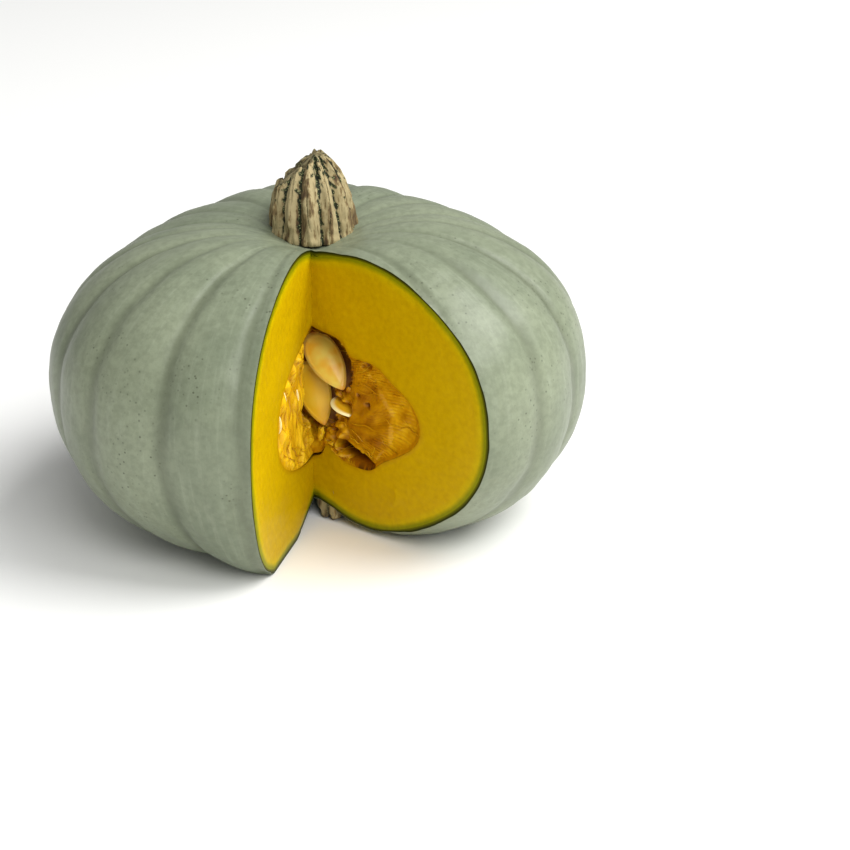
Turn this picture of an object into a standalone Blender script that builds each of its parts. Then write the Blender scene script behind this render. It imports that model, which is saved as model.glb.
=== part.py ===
# A ripe pumpkin with a notch cut from its side.
# The rind, the flesh, the corky stem, the blossom scar, the stringy pulp
# and the seeds are separate solids. Sizes are in millimetres in the
# constants and in metres in the meshes. The stem points to +Z, and the
# notch opens towards -Y.

import math
import random

import bmesh
import bpy
from mathutils import Matrix, Vector, noise

MM = 0.001
GAP = 0.3                    # between solids that touch on the real fruit

# Outer shape of the fruit: a flattened round about its own upright axis
BODY_RADIUS = 112.5
TOP_REACH = 70.6
BOTTOM_REACH = 76.2
TOP_ROUNDNESS = 2.36
BOTTOM_ROUNDNESS = 2.11
TOP_DIMPLE_DEPTH = 15.5
TOP_DIMPLE_SPREAD = 26.0     # degrees from the pole
BOTTOM_DIMPLE_DEPTH = 25.3
BOTTOM_DIMPLE_SPREAD = 31.0
BACK_BULGE = 0.062           # the stem sits in front of the middle
OVAL = 0.021                 # slight departures from a round plan
OVAL_TURN = 33.6
THREE_SIDED = 0.035
THREE_SIDED_TURN = -19.7
REST_LEVEL = -61.5           # the lobes are flat where they rest

# Lobes: ten deep grooves with a shallow one between each pair
LOBES = 10
FIRST_GROOVE = -121.7        # degrees round the axis from +X
DEEP_GROOVE = 0.042
DEEP_GROOVE_WIDTH = 9.0
DEEP_GROOVE_SOFTNESS = 1.5
SHALLOW_GROOVE = 0.020
SHALLOW_GROOVE_WIDTH = 5.0
SHALLOW_GROOVE_SOFTNESS = 2.5

# Local swellings: azimuth, height angle, outward push in millimetres
SWELLINGS = ((-52.0, -34.0, -3.3), (-102.0, -36.0, 9.6))
SWELLING_SPREAD = 18.0

# Columns and rings of the balls that the round shapes start from
FRUIT_BALL = (60, 22)
CAVITY_BALL = (40, 14)
STEM_BALL = (48, 15)
SCAR_BALL = (20, 10)
PULP_BALL = (36, 20)
SEED_BALL = (14, 6)

# Wall of the fruit
RIND_THICKNESS = 2.0
CAVITY_RADIUS = 68.0
CAVITY_HALF_HEIGHT = 29.0
CAVITY_CENTRE = (0.0, 5.0, -5.0)
CAVITY_ROUNDNESS = 2.25
CAVITY_RIPPLE = 1.2

# Notch: two upright knife cuts that meet in a line in front of the stem
CUT_MEETING = (-1.0, -14.1)
CUT_LEAN = (0.0104, -0.0708)
LEFT_CUT = -102.6
RIGHT_CUT = -39.6
CUT_LENGTH = 190.0
CUT_HALF_HEIGHT = 90.0

# Stem: a ridged dome, torn off slanting on its left
STEM_CENTRE = (-0.7, 12.0)
STEM_FOOT = 48.0             # sunk into the fruit, then cut along its skin
STEM_SEAT = 55.5
STEM_FOOT_SHARE = 0.1        # share of the rings that close the foot
STEM_RADIUS = 17.9
STEM_HEIGHT = 38.0
STEM_FULLNESS = 2.6          # a higher number keeps the sides upright longer
STEM_TAPER = 0.67
STEM_TAPER_TILT = 0.13       # steeper on one side than on the other
STEM_RIDGES = 12
STEM_RIDGE_DEPTH = 0.9
STEM_RIDGE_LEAN = 1.5
STEM_BULGES = 5              # broad bulges under the ridges
TEAR_LEVEL = 35.0
TEAR_SLOPE = 0.8
TEAR_RAGGED = 1.3
TEAR_GRAIN = 0.35            # bumps per millimetre on the torn face

# Blossom scar: its radius waves in two series of lobes
SCAR_CENTRE = (7.2, -11.5)
SCAR_RADIUS = 6.6
SCAR_TOP = -44.0
SCAR_BOTTOM = -61.0
SCAR_LOBES = ((5, 0.10, 0.0), (8, 0.06, 1.0))
SCAR_PIT_DEPTH = 3.5
SCAR_PIT_RADIUS = 2.4

# Pulp: it fills the cavity behind the two cuts, combed into fibres
PULP_FILL = 0.93
PULP_CORE = (-2.0, -7.5, -5.0)
PULP_RIGHT_TURN = 4.0        # degrees away from the notch, seen from the core
PULP_LEFT_TURN = 0.0
PULP_FIBRE = 1.1

# Seeds
SEED_LENGTH = 30.0
SEED_WIDTH = 15.0
SEED_THICKNESS = 3.4
SEED_NARROWING = 0.22        # towards the tip
SEED_POINT = 0.30

# Loose seeds: centre, direction of the tip, direction that a flat side faces
SEEDS = (
    ((4.6, -14.0, 10.2), (0.51, -0.50, -0.70), (-0.05, -0.82, 0.57)),
    ((-0.4, -10.6, -4.8), (0.27, -0.20, -0.94), (-0.05, -0.95, 0.20)),
    ((18.5, -15.8, -10.0), (0.90, 0.35, -0.20), (0.25, -0.35, 0.90)),
)

# Seeds whose round ends stand out of the left cut: distance from where the
# cuts meet, and height
SIDE_SEEDS = ((21.5, 1.6), (39.0, 6.7), (46.0, -1.5))
SIDE_SEED_SINK = 14.5        # from the cut to the seed's centre
SIDE_SEED_SLANT = 0.6        # the tips turn back towards the core
SIDE_SEED_RANDOM = 7
SIDE_SEED_TILT = 0.15


def clear_scene():
    for old in list(bpy.data.objects):
        bpy.data.objects.remove(old, do_unlink=True)


def new_collection(name):
    collection = bpy.data.collections.new(name)
    bpy.context.scene.collection.children.link(collection)
    return collection


def make_material(name, colour, roughness):
    material = bpy.data.materials.new(name)
    material.use_nodes = True
    shader = material.node_tree.nodes["Principled BSDF"]
    shader.inputs["Base Color"].default_value = (*colour, 1.0)
    shader.inputs["Roughness"].default_value = roughness
    shader.inputs["Metallic"].default_value = 0.0
    material.diffuse_color = (*colour, 1.0)
    return material


def angle_between(first, second):
    """Signed difference of two angles in degrees, from -180 to 180."""
    return (first - second + 180.0) % 360.0 - 180.0


def crease(distance, width, softness):
    """One at the bottom of a groove, fading away over the width."""
    return math.exp((softness - math.hypot(distance, softness)) / width)


def lobes(azimuth):
    """Share of the radius that the grooves take away at this azimuth."""
    step = 360.0 / LOBES
    to_deep = abs(angle_between(azimuth, FIRST_GROOVE)) % step
    to_deep = min(to_deep, step - to_deep)
    to_shallow = step / 2.0 - to_deep
    deep = DEEP_GROOVE * crease(to_deep, DEEP_GROOVE_WIDTH, DEEP_GROOVE_SOFTNESS)
    shallow = SHALLOW_GROOVE * crease(to_shallow, SHALLOW_GROOVE_WIDTH,
                                      SHALLOW_GROOVE_SOFTNESS)
    return deep + shallow


def body_radius(azimuth, height_angle):
    """Distance from the middle of the fruit to its outer skin."""
    level = max(math.cos(math.radians(height_angle)), 1e-6)
    rise = math.sin(math.radians(height_angle))
    if rise >= 0.0:
        reach, roundness = TOP_REACH, TOP_ROUNDNESS
        dimple, spread = TOP_DIMPLE_DEPTH, TOP_DIMPLE_SPREAD
    else:
        reach, roundness = BOTTOM_REACH, BOTTOM_ROUNDNESS
        dimple, spread = BOTTOM_DIMPLE_DEPTH, BOTTOM_DIMPLE_SPREAD
    across = level ** roundness
    upward = (abs(rise) * BODY_RADIUS / reach) ** roundness
    radius = BODY_RADIUS * (across + upward) ** (-1.0 / roundness)
    from_pole = 90.0 - abs(height_angle)
    radius -= dimple * math.exp(-(from_pole / spread) ** 2)
    plan = BACK_BULGE * math.sin(math.radians(azimuth))
    plan += OVAL * math.cos(math.radians(2.0 * (azimuth - OVAL_TURN)))
    plan += THREE_SIDED * math.cos(math.radians(3.0 * (azimuth - THREE_SIDED_TURN)))
    radius *= 1.0 + level * (plan - lobes(azimuth))
    for side, height, push in SWELLINGS:
        across = angle_between(azimuth, side) / SWELLING_SPREAD
        upward = (height_angle - height) / SWELLING_SPREAD
        radius += push * math.exp(-across ** 2 - upward ** 2)
    return radius


def cavity_radius(azimuth, height_angle):
    """Distance from the middle of the cavity to its wall."""
    level = max(math.cos(math.radians(height_angle)), 1e-6)
    rise = abs(math.sin(math.radians(height_angle)))
    across = level ** CAVITY_ROUNDNESS
    upward = (rise * CAVITY_RADIUS / CAVITY_HALF_HEIGHT) ** CAVITY_ROUNDNESS
    radius = CAVITY_RADIUS * (across + upward) ** (-1.0 / CAVITY_ROUNDNESS)
    ripple = math.cos(math.radians(LOBES * (azimuth - FIRST_GROOVE)))
    return radius - CAVITY_RIPPLE * level * ripple


def direction(azimuth, height_angle):
    turn = math.radians(azimuth)
    level = math.cos(math.radians(height_angle))
    return Vector((level * math.cos(turn), level * math.sin(turn),
                   math.sin(math.radians(height_angle))))


def ball(size, shape, first_azimuth=0.0):
    """A sphere whose points are moved to shape(azimuth, height angle)."""
    columns, rings = size
    bm = bmesh.new()
    bmesh.ops.create_uvsphere(bm, u_segments=columns, v_segments=rings, radius=1.0)
    for vert in bm.verts:
        azimuth = math.degrees(math.atan2(vert.co.y, vert.co.x)) + first_azimuth
        height_angle = math.degrees(math.asin(max(-1.0, min(1.0, vert.co.z))))
        vert.co = shape(azimuth, height_angle)
    bm.normal_update()
    return bm


def finish(bm, name, collection, material=None, sharp_angle=50.0):
    """Turn the edited mesh into an object, in metres and shaded smooth."""
    bmesh.ops.scale(bm, vec=(MM, MM, MM), verts=bm.verts)
    bmesh.ops.recalc_face_normals(bm, faces=bm.faces)
    mesh = bpy.data.meshes.new(name)
    bm.to_mesh(mesh)
    bm.free()
    mesh.shade_smooth()
    mesh.set_sharp_from_angle(angle=math.radians(sharp_angle))
    made = bpy.data.objects.new(name, mesh)
    collection.objects.link(made)
    if material:
        mesh.materials.append(material)
    return made


def as_cutter(cutter):
    cutter.display_type = "WIRE"
    cutter.hide_render = True
    return cutter


def cut(target, cutter):
    """Take the cutter's volume out of the target."""
    modifier = target.modifiers.new("Cut " + cutter.name, "BOOLEAN")
    modifier.operation = "DIFFERENCE"
    modifier.solver = "EXACT"
    modifier.object = cutter


def fruit_ball(inset):
    """The outer skin of the fruit, moved inwards by the inset.

    Its faces are split first, so that skins of other insets match it.
    """
    def skin(azimuth, height_angle):
        point = direction(azimuth, height_angle) * body_radius(azimuth, height_angle)
        point.z = max(point.z, REST_LEVEL)
        return point

    bm = ball(FRUIT_BALL, skin, FIRST_GROOVE)
    bmesh.ops.triangulate(bm, faces=bm.faces, quad_method="FIXED")
    bm.normal_update()
    shifts = [vert.normal * -inset for vert in bm.verts]
    for vert, shift in zip(bm.verts, shifts):
        vert.co += shift
    return bm


def notch_cutter(name, collection):
    """A three-sided prism whose back edge is where the two cuts meet."""
    bm = bmesh.new()
    bmesh.ops.create_cone(bm, cap_ends=True, segments=3, radius1=1.0, radius2=1.0, depth=2.0)
    for vert in bm.verts:
        corner = round(math.atan2(vert.co.y, vert.co.x) / math.radians(120.0)) % 3
        height = math.copysign(CUT_HALF_HEIGHT, vert.co.z)
        meeting = Vector((CUT_MEETING[0] + CUT_LEAN[0] * height,
                          CUT_MEETING[1] + CUT_LEAN[1] * height, height))
        reach = (0.0, CUT_LENGTH, CUT_LENGTH)[corner]
        side = (0.0, RIGHT_CUT, LEFT_CUT)[corner]
        vert.co = meeting + direction(side, 0.0) * reach
    return as_cutter(finish(bm, name, collection))


def cavity_ball(name, collection):
    centre = Vector(CAVITY_CENTRE)

    def wall(azimuth, height_angle):
        return centre + direction(azimuth, height_angle) * cavity_radius(azimuth, height_angle)

    bm = ball(CAVITY_BALL, wall, FIRST_GROOVE)
    return as_cutter(finish(bm, name, collection))


def make_fruit(parts, cutters, notch):
    """The rind as a skin, and the flesh inside it with its cavity."""
    rind_colour = make_material("grey-green rind", (0.36, 0.41, 0.33), 0.55)
    flesh_colour = make_material("yellow flesh", (0.80, 0.47, 0.02), 0.45)
    rind = finish(fruit_ball(0.0), "rind", parts, rind_colour)
    inside = fruit_ball(RIND_THICKNESS)
    inside = as_cutter(finish(inside, "inside of the rind", cutters))
    flesh = finish(fruit_ball(RIND_THICKNESS + GAP), "flesh", parts, flesh_colour)
    cut(rind, inside)
    cut(rind, notch)
    cut(flesh, cavity_ball("cavity", cutters))
    cut(flesh, notch)
    return rind, flesh


def stem_profile(share, turn):
    """Spread and height, both from 0 to 1, a share of the way up the stem."""
    if share < STEM_FOOT_SHARE:
        return share / STEM_FOOT_SHARE, 0.0
    height = ((share - STEM_FOOT_SHARE) / (1.0 - STEM_FOOT_SHARE)) ** 0.9
    taper = STEM_TAPER + STEM_TAPER_TILT * math.cos(turn)
    return max(1.0 - height ** STEM_FULLNESS, 0.0) ** taper, height


def torn_level(across, along):
    """Height of the slanting, ragged tear at a place on the stem."""
    grain = Vector((across * TEAR_GRAIN, along * TEAR_GRAIN, 3.0))
    slant = TEAR_SLOPE * min(across - 1.5, 0.0)
    return TEAR_LEVEL + slant + TEAR_RAGGED * noise.noise(grain)


def make_stem(parts, seat):
    """A corky dome with upright ridges and a torn, slanting top."""
    def bark(azimuth, height_angle):
        turn = math.radians(azimuth)
        spread, height = stem_profile((height_angle + 90.0) / 180.0, turn)
        ridge = math.cos(STEM_RIDGES * turn + STEM_RIDGE_LEAN * height)
        ridge += 0.5 * math.cos(STEM_BULGES * turn + 2.0)
        radius = STEM_RADIUS * spread + STEM_RIDGE_DEPTH * ridge * min(spread * 2.0, 1.0)
        across = radius * math.cos(turn)
        along = radius * math.sin(turn)
        level = STEM_FOOT
        if height > 0.0:
            level = STEM_SEAT + min(STEM_HEIGHT * height, torn_level(across, along))
        return Vector((STEM_CENTRE[0] + across, STEM_CENTRE[1] + along, level))

    bm = ball(STEM_BALL, bark)
    colour = make_material("corky stem", (0.55, 0.43, 0.24), 0.85)
    stem = finish(bm, "stem", parts, colour)
    cut(stem, seat)
    return stem


def make_scar(parts, seat, notch):
    """The ragged corky button that the flower left, with a pit in it."""
    middle = (SCAR_TOP + SCAR_BOTTOM) / 2.0
    half_height = (SCAR_TOP - SCAR_BOTTOM) / 2.0

    def button(azimuth, height_angle):
        turn = math.radians(azimuth)
        level = math.cos(math.radians(height_angle))
        rise = math.sin(math.radians(height_angle))
        ragged = 1.0
        for count, depth, start in SCAR_LOBES:
            ragged += depth * math.cos(count * turn + start)
        radius = SCAR_RADIUS * level ** 0.5 * ragged
        height = middle + half_height * rise
        if rise < 0.0:
            height += SCAR_PIT_DEPTH * math.exp(-(radius / SCAR_PIT_RADIUS) ** 2)
        return Vector((SCAR_CENTRE[0] + radius * math.cos(turn),
                       SCAR_CENTRE[1] + radius * math.sin(turn), height))

    bm = ball(SCAR_BALL, button)
    colour = make_material("corky scar", (0.52, 0.38, 0.26), 0.85)
    scar = finish(bm, "blossom_scar", parts, colour)
    cut(scar, seat)
    cut(scar, notch)
    return scar


def make_seed(name, collection, centre, tip, facing, grow=0.0, material=None):
    """A flat seed, round at one end and drawn to a point at the other."""
    tip = Vector(tip).normalized()
    across = Vector(facing).cross(tip).normalized()
    facing = tip.cross(across)
    turn = Matrix((tip, across, facing)).transposed()
    half = Vector((SEED_LENGTH, SEED_WIDTH, SEED_THICKNESS)) / 2.0 + Vector((grow, grow, grow))

    def coat(azimuth, height_angle):
        unit = direction(azimuth, height_angle)
        narrowing = 1.0 - SEED_NARROWING * unit.x - SEED_POINT * max(unit.x, 0.0) ** 3
        along = unit.x * half.x
        return Vector((along, unit.y * half.y * narrowing, unit.z * half.z))

    bm = ball(SEED_BALL, coat)
    bmesh.ops.transform(bm, matrix=Matrix.Translation(centre) @ turn.to_4x4(), verts=bm.verts)
    return finish(bm, name, collection, material)


def side_seeds():
    """Seeds in the pulp at the left cut, each with its round end out."""
    draw = random.Random(SIDE_SEED_RANDOM)
    cut_way = direction(LEFT_CUT, 0.0)
    inward = direction(LEFT_CUT - 90.0, 0.0)
    meeting = Vector((CUT_MEETING[0], CUT_MEETING[1], 0.0))
    placed = []
    for distance, height in SIDE_SEEDS:
        tilt = draw.uniform(-SIDE_SEED_TILT, SIDE_SEED_TILT)
        tip = inward - cut_way * SIDE_SEED_SLANT + Vector((0.0, 0.0, tilt))
        facing = cut_way + inward * SIDE_SEED_SLANT
        centre = meeting + cut_way * distance + Vector((0.0, 0.0, height))
        centre += tip.normalized() * SIDE_SEED_SINK
        placed.append((tuple(centre), tuple(tip), tuple(facing)))
    return placed


def cavity_share(point):
    """Below one inside the cavity and one on its wall."""
    offset = point - Vector(CAVITY_CENTRE)
    azimuth = math.degrees(math.atan2(offset.y, offset.x))
    height_angle = math.degrees(math.atan2(offset.z, math.hypot(offset.x, offset.y)))
    return offset.length / cavity_radius(azimuth, height_angle)


def reach_to_wall(start, way):
    """Length of the straight run from the start to the cavity's wall."""
    near, far = 0.0, 3.0 * CAVITY_RADIUS
    for _ in range(24):
        middle = (near + far) / 2.0
        if cavity_share(start + way * middle) < 1.0:
            near = middle
        else:
            far = middle
    return near


def make_pulp(parts, cutters, seeds):
    """The stringy mass behind the cuts, with a socket for each seed."""
    core = Vector(PULP_CORE)
    columns, rings = PULP_BALL
    step = 360.0 / columns
    first = RIGHT_CUT + PULP_RIGHT_TURN
    last = LEFT_CUT + 360.0 - PULP_LEFT_TURN

    def strands(azimuth, height_angle):
        column = round(azimuth / step) % columns
        rise = math.sin(math.radians(height_angle))
        if column == 0:
            pole = reach_to_wall(core, Vector((0.0, 0.0, math.copysign(1.0, rise))))
            return core + Vector((0.0, 0.0, pole * PULP_FILL * rise))
        side = first + (last - first) * (column - 1) / (columns - 2)
        way = direction(side, height_angle)
        reach = reach_to_wall(core, way) * PULP_FILL
        ring = round((height_angle + 90.0) / 180.0 * rings)
        point = core + way * reach
        if column in (1, columns - 1) and 0 < ring < rings:
            outward = side - 90.0 if column == 1 else side + 90.0
            comb = PULP_FIBRE if ring % 2 else -PULP_FIBRE
            point += direction(outward, 0.0) * comb
        return point

    colour = make_material("orange pulp", (0.62, 0.26, 0.03), 0.5)
    pulp = finish(ball(PULP_BALL, strands), "pulp", parts, colour)
    for number, (centre, tip, facing) in enumerate(seeds, start=1):
        socket = make_seed("socket_%d" % number, cutters, centre, tip, facing, GAP + 0.1)
        cut(pulp, as_cutter(socket))
    return pulp


def make_seeds(parts, seeds):
    colour = make_material("cream seed coat", (0.83, 0.66, 0.36), 0.4)
    for number, (centre, tip, facing) in enumerate(seeds, start=1):
        make_seed("seed_%d" % number, parts, centre, tip, facing, material=colour)


def shift_to_origin(parts):
    """The move that centres the fruit over the origin, resting on z = 0."""
    bpy.context.view_layer.update()
    graph = bpy.context.evaluated_depsgraph_get()
    corners = []
    for made in parts.objects:
        shown = made.evaluated_get(graph)
        corners += [shown.matrix_world @ Vector(corner) for corner in shown.bound_box]
    low = [min(corner[axis] for corner in corners) for axis in range(3)]
    high = [max(corner[axis] for corner in corners) for axis in range(3)]
    return Vector((-(low[0] + high[0]) / 2.0, -(low[1] + high[1]) / 2.0, -low[2]))


def build():
    clear_scene()
    parts = new_collection("pumpkin")
    cutters = new_collection("cutters")
    notch = notch_cutter("notch", cutters)
    make_fruit(parts, cutters, notch)
    seat = as_cutter(finish(fruit_ball(-GAP), "seat of stem and scar", cutters))
    make_stem(parts, seat)
    make_scar(parts, seat, notch)
    seeds = list(SEEDS) + side_seeds()
    make_pulp(parts, cutters, seeds)
    make_seeds(parts, seeds)
    frame = bpy.data.objects.new("frame", None)
    bpy.context.scene.collection.objects.link(frame)
    frame.location = shift_to_origin(parts)
    for made in list(parts.objects) + list(cutters.objects):
        made.parent = frame


build()
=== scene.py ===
import math

import bmesh
import bpy
import numpy as np
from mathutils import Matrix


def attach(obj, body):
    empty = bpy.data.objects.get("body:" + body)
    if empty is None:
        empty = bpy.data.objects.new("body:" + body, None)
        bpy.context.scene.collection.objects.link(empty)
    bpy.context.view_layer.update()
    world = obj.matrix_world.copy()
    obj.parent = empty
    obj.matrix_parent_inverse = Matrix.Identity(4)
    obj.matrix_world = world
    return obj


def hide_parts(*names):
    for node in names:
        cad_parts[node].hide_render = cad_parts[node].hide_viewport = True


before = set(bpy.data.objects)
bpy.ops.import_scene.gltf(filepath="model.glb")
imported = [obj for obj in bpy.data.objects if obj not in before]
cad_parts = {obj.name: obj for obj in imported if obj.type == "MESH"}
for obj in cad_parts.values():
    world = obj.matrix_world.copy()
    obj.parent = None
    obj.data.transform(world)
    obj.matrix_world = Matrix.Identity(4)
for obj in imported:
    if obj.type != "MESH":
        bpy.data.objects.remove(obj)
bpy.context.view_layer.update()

print("frame loaded")

# All shapes are worked out in millimetres about the fruit's own middle, which
# stands at this place in the row frame. The surfaces are the same as the
# solids', only finer.
fruitMiddle = np.array((-2.096, -9.709, 61.5))

body = {
    "radius": 112.5, "topReach": 70.6, "bottomReach": 76.2,
    "topRoundness": 2.36, "bottomRoundness": 2.11,
    "topDimple": 15.5, "topSpread": 26.0,
    "bottomDimple": 25.3, "bottomSpread": 31.0,
    "backBulge": 0.062, "oval": 0.021, "ovalTurn": 33.6,
    "threeSided": 0.035, "threeSidedTurn": -19.7,
    "lobes": 10, "firstGroove": -121.7,
    "deepGroove": 0.042, "deepWidth": 9.0,
    "shallowGroove": 0.020, "shallowWidth": 5.0,
    "swellings": ((-52.0, -34.0, -3.3), (-102.0, -36.0, 9.6)), "swellingSpread": 18.0,
    "restLevel": -61.5, "skin": 2.0,
}
notch = {"meeting": (-1.0, -14.1), "lean": (0.0104, -0.0708), "left": -102.6, "right": -39.6}
cavity = {"radius": 68.0, "halfHeight": 29.0, "middle": (0.0, 5.0, -5.0),
          "roundness": 2.25, "ripple": 1.2,
          # on the right cut, how its outline departs: height angle, share, spread
          "dents": ((45.0, 0.15, 11.0), (20.0, 0.05, 9.0), (-4.0, -0.07, 13.0),
                    (-41.0, -0.09, 9.0), (-69.0, 0.25, 9.0)), "dentSpread": 20.0}


def turnDifference(first, second):
    # signed difference of two angles in degrees
    return (first - second + 180.0) % 360.0 - 180.0


def unitWay(azimuth, height):
    # unit vectors from an azimuth and a height angle, both in degrees
    azimuth, height = np.broadcast_arrays(np.radians(azimuth), np.radians(height))
    return np.stack((np.cos(height) * np.cos(azimuth), np.cos(height) * np.sin(azimuth),
                     np.sin(height)), axis=-1)


def ripples(points, wavelength, seed, count=14):
    # smooth natural unevenness: sine waves of about one length in random directions
    draw = np.random.default_rng(seed)
    ways = draw.normal(size=(count, 3))
    ways /= np.linalg.norm(ways, axis=1, keepdims=True)
    ways *= 2.0 * np.pi / (wavelength * draw.uniform(0.7, 1.5, (count, 1)))
    phases = draw.uniform(0.0, 2.0 * np.pi, count)
    return np.sin(points @ ways.T + phases).sum(axis=-1) / math.sqrt(count)


def creaseDistances(azimuth):
    # degrees to the nearest deep groove and to the nearest shallow one
    step = 360.0 / body["lobes"]
    toDeep = np.abs(turnDifference(azimuth, body["firstGroove"])) % step
    toDeep = np.minimum(toDeep, step - toDeep)
    return toDeep, step / 2.0 - toDeep


def lobeShare(azimuth):
    # the share of the radius that the deep and the shallow grooves take away
    toDeep, toShallow = creaseDistances(azimuth)
    deep = body["deepGroove"] * np.exp((1.5 - np.hypot(toDeep, 1.5)) / body["deepWidth"])
    shallow = body["shallowGroove"] * np.exp((2.5 - np.hypot(toShallow, 2.5)) / body["shallowWidth"])
    return deep + shallow


def bodyRadius(azimuth, height):
    # a flattened round with a dimple at each pole, grooves, and slight swellings
    level = np.maximum(np.cos(np.radians(height)), 1e-6)
    rise = np.sin(np.radians(height))
    above = rise >= 0.0
    reach = np.where(above, body["topReach"], body["bottomReach"])
    roundness = np.where(above, body["topRoundness"], body["bottomRoundness"])
    dimple = np.where(above, body["topDimple"], body["bottomDimple"])
    spread = np.where(above, body["topSpread"], body["bottomSpread"])
    radius = body["radius"] * (level ** roundness + (np.abs(rise) * body["radius"] / reach)
                               ** roundness) ** (-1.0 / roundness)
    radius = radius - dimple * np.exp(-((90.0 - np.abs(height)) / spread) ** 2)
    plan = body["backBulge"] * np.sin(np.radians(azimuth))
    plan = plan + body["oval"] * np.cos(np.radians(2.0 * (azimuth - body["ovalTurn"])))
    plan = plan + body["threeSided"] * np.cos(np.radians(3.0 * (azimuth - body["threeSidedTurn"])))
    radius = radius * (1.0 + level * (plan - lobeShare(azimuth)))
    for side, lift, push in body["swellings"]:
        across = turnDifference(azimuth, side) / body["swellingSpread"]
        upward = (height - lift) / body["swellingSpread"]
        radius = radius + push * np.exp(-across ** 2 - upward ** 2)
    return radius


def polar(points):
    # azimuth and height angle of points, in degrees, and their distance
    flat = np.hypot(points[..., 0], points[..., 1])
    return (np.degrees(np.arctan2(points[..., 1], points[..., 0])),
            np.degrees(np.arctan2(points[..., 2], flat)), np.hypot(flat, points[..., 2]))


def outsideSkin(points):
    # below zero inside the fruit, which is flat where it rests
    azimuth, height, distance = polar(points)
    return np.maximum(distance - bodyRadius(azimuth, height), body["restLevel"] - points[..., 2])


def outsideCavity(points):
    # below zero inside the seed cavity, a flattened round with soft lobes
    azimuth, height, distance = polar(points - np.array(cavity["middle"]))
    level = np.maximum(np.cos(np.radians(height)), 1e-6)
    rise = np.abs(np.sin(np.radians(height))) * cavity["radius"] / cavity["halfHeight"]
    power = cavity["roundness"]
    radius = cavity["radius"] * (level ** power + rise ** power) ** (-1.0 / power)
    ripple = np.cos(np.radians(body["lobes"] * (azimuth - body["firstGroove"])))
    return distance - (radius - cavity["ripple"] * level * ripple)


def reachTo(surface, start, ways):
    # length of the straight run from the start to the surface, by halving
    near = np.zeros(ways.shape[:-1])
    far = np.full(ways.shape[:-1], 260.0)
    for halving in range(26):
        middle = (near + far) / 2.0
        inside = surface(start + middle[..., None] * ways) < 0.0
        near = np.where(inside, middle, near)
        far = np.where(inside, far, middle)
    return near


def gridFaces(rows, columns, first=0):
    # four-sided faces of a rows by columns grid whose points are numbered row by row
    row, column = np.meshgrid(np.arange(rows - 1), np.arange(columns - 1), indexing="ij")
    corner = (first + row * columns + column).ravel()
    return np.stack((corner, corner + 1, corner + columns + 1, corner + columns), axis=1)


def buildPiece(name, sheets, nodes, marks=None, sharp=50.0, merge=True):
    # joins grids of points, in millimetres about the fruit's middle, into one closed mesh
    points, faces, first = [], [], 0
    for sheet in sheets:
        rows, columns = sheet.shape[:2]
        points.append(sheet.reshape(-1, 3))
        faces.append(gridFaces(rows, columns, first))
        first += rows * columns
    places = (np.concatenate(points) + fruitMiddle) / 1000.0
    corners = np.concatenate(faces)
    mesh = bpy.data.meshes.new(name)
    mesh.vertices.add(len(places))
    mesh.vertices.foreach_set("co", places.astype(np.float32).ravel())
    mesh.loops.add(corners.size)
    mesh.loops.foreach_set("vertex_index", corners.ravel().astype(np.int32))
    mesh.polygons.add(len(corners))
    mesh.polygons.foreach_set("loop_start", np.arange(0, corners.size, 4, dtype=np.int32))
    mesh.update(calc_edges=True)
    for label, values in (marks or {}).items():
        attribute = mesh.attributes.new(label, "FLOAT", "POINT")
        attribute.data.foreach_set("value", np.concatenate([v.ravel() for v in values]).astype(np.float32))
    if merge:
        work = bmesh.new()
        work.from_mesh(mesh)
        bmesh.ops.remove_doubles(work, verts=work.verts, dist=2e-6)
        bmesh.ops.dissolve_degenerate(work, edges=work.edges, dist=1e-7)
        bmesh.ops.recalc_face_normals(work, faces=work.faces)
        work.to_mesh(mesh)
        work.free()
    mesh.shade_smooth()
    mesh.set_sharp_from_angle(angle=math.radians(sharp))
    piece = bpy.data.objects.new(name, mesh)
    bpy.context.scene.collection.objects.link(piece)
    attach(piece, "root")
    if nodes:
        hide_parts(*nodes)
    return piece


def gridNormals(sheet):
    # unit normals of a grid of points, from its neighbours
    down = np.gradient(sheet, axis=0)
    across = np.gradient(sheet, axis=1)
    normals = np.cross(across, down)
    return normals / np.maximum(np.linalg.norm(normals, axis=-1, keepdims=True), 1e-9)


# Materials

def linear(hexColour):
    # sRGB hex to linear red, green, blue, and one for alpha
    channels = [int(hexColour[place:place + 2], 16) / 255.0 for place in (1, 3, 5)]
    return tuple(c / 12.92 if c <= 0.04045 else ((c + 0.055) / 1.055) ** 2.4
                 for c in channels) + (1.0,)


def addNode(tree, kind, links=None, inputs=None, stops=None, **settings):
    # one node with its settings, plain input values, links in, and a ramp's stops
    node = tree.nodes.new(kind)
    for name, value in settings.items():
        setattr(node, name, value)
    for name, value in (inputs or {}).items():
        node.inputs[name].default_value = value
    for name, source in (links or {}).items():
        tree.links.new(source, node.inputs[name])
    for number, (place, colour) in enumerate(stops or ()):
        elements = node.color_ramp.elements
        element = elements[number] if number < 2 else elements.new(place)
        element.position = place
        element.color = linear(colour)
    return node


def newMaterial(name, roughness, ior=1.45):
    material = bpy.data.materials.new(name)
    material.use_nodes = True
    tree = material.node_tree
    shader = tree.nodes["Principled BSDF"]
    shader.inputs["Roughness"].default_value = roughness
    shader.inputs["IOR"].default_value = ior
    return material, tree, shader


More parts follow.
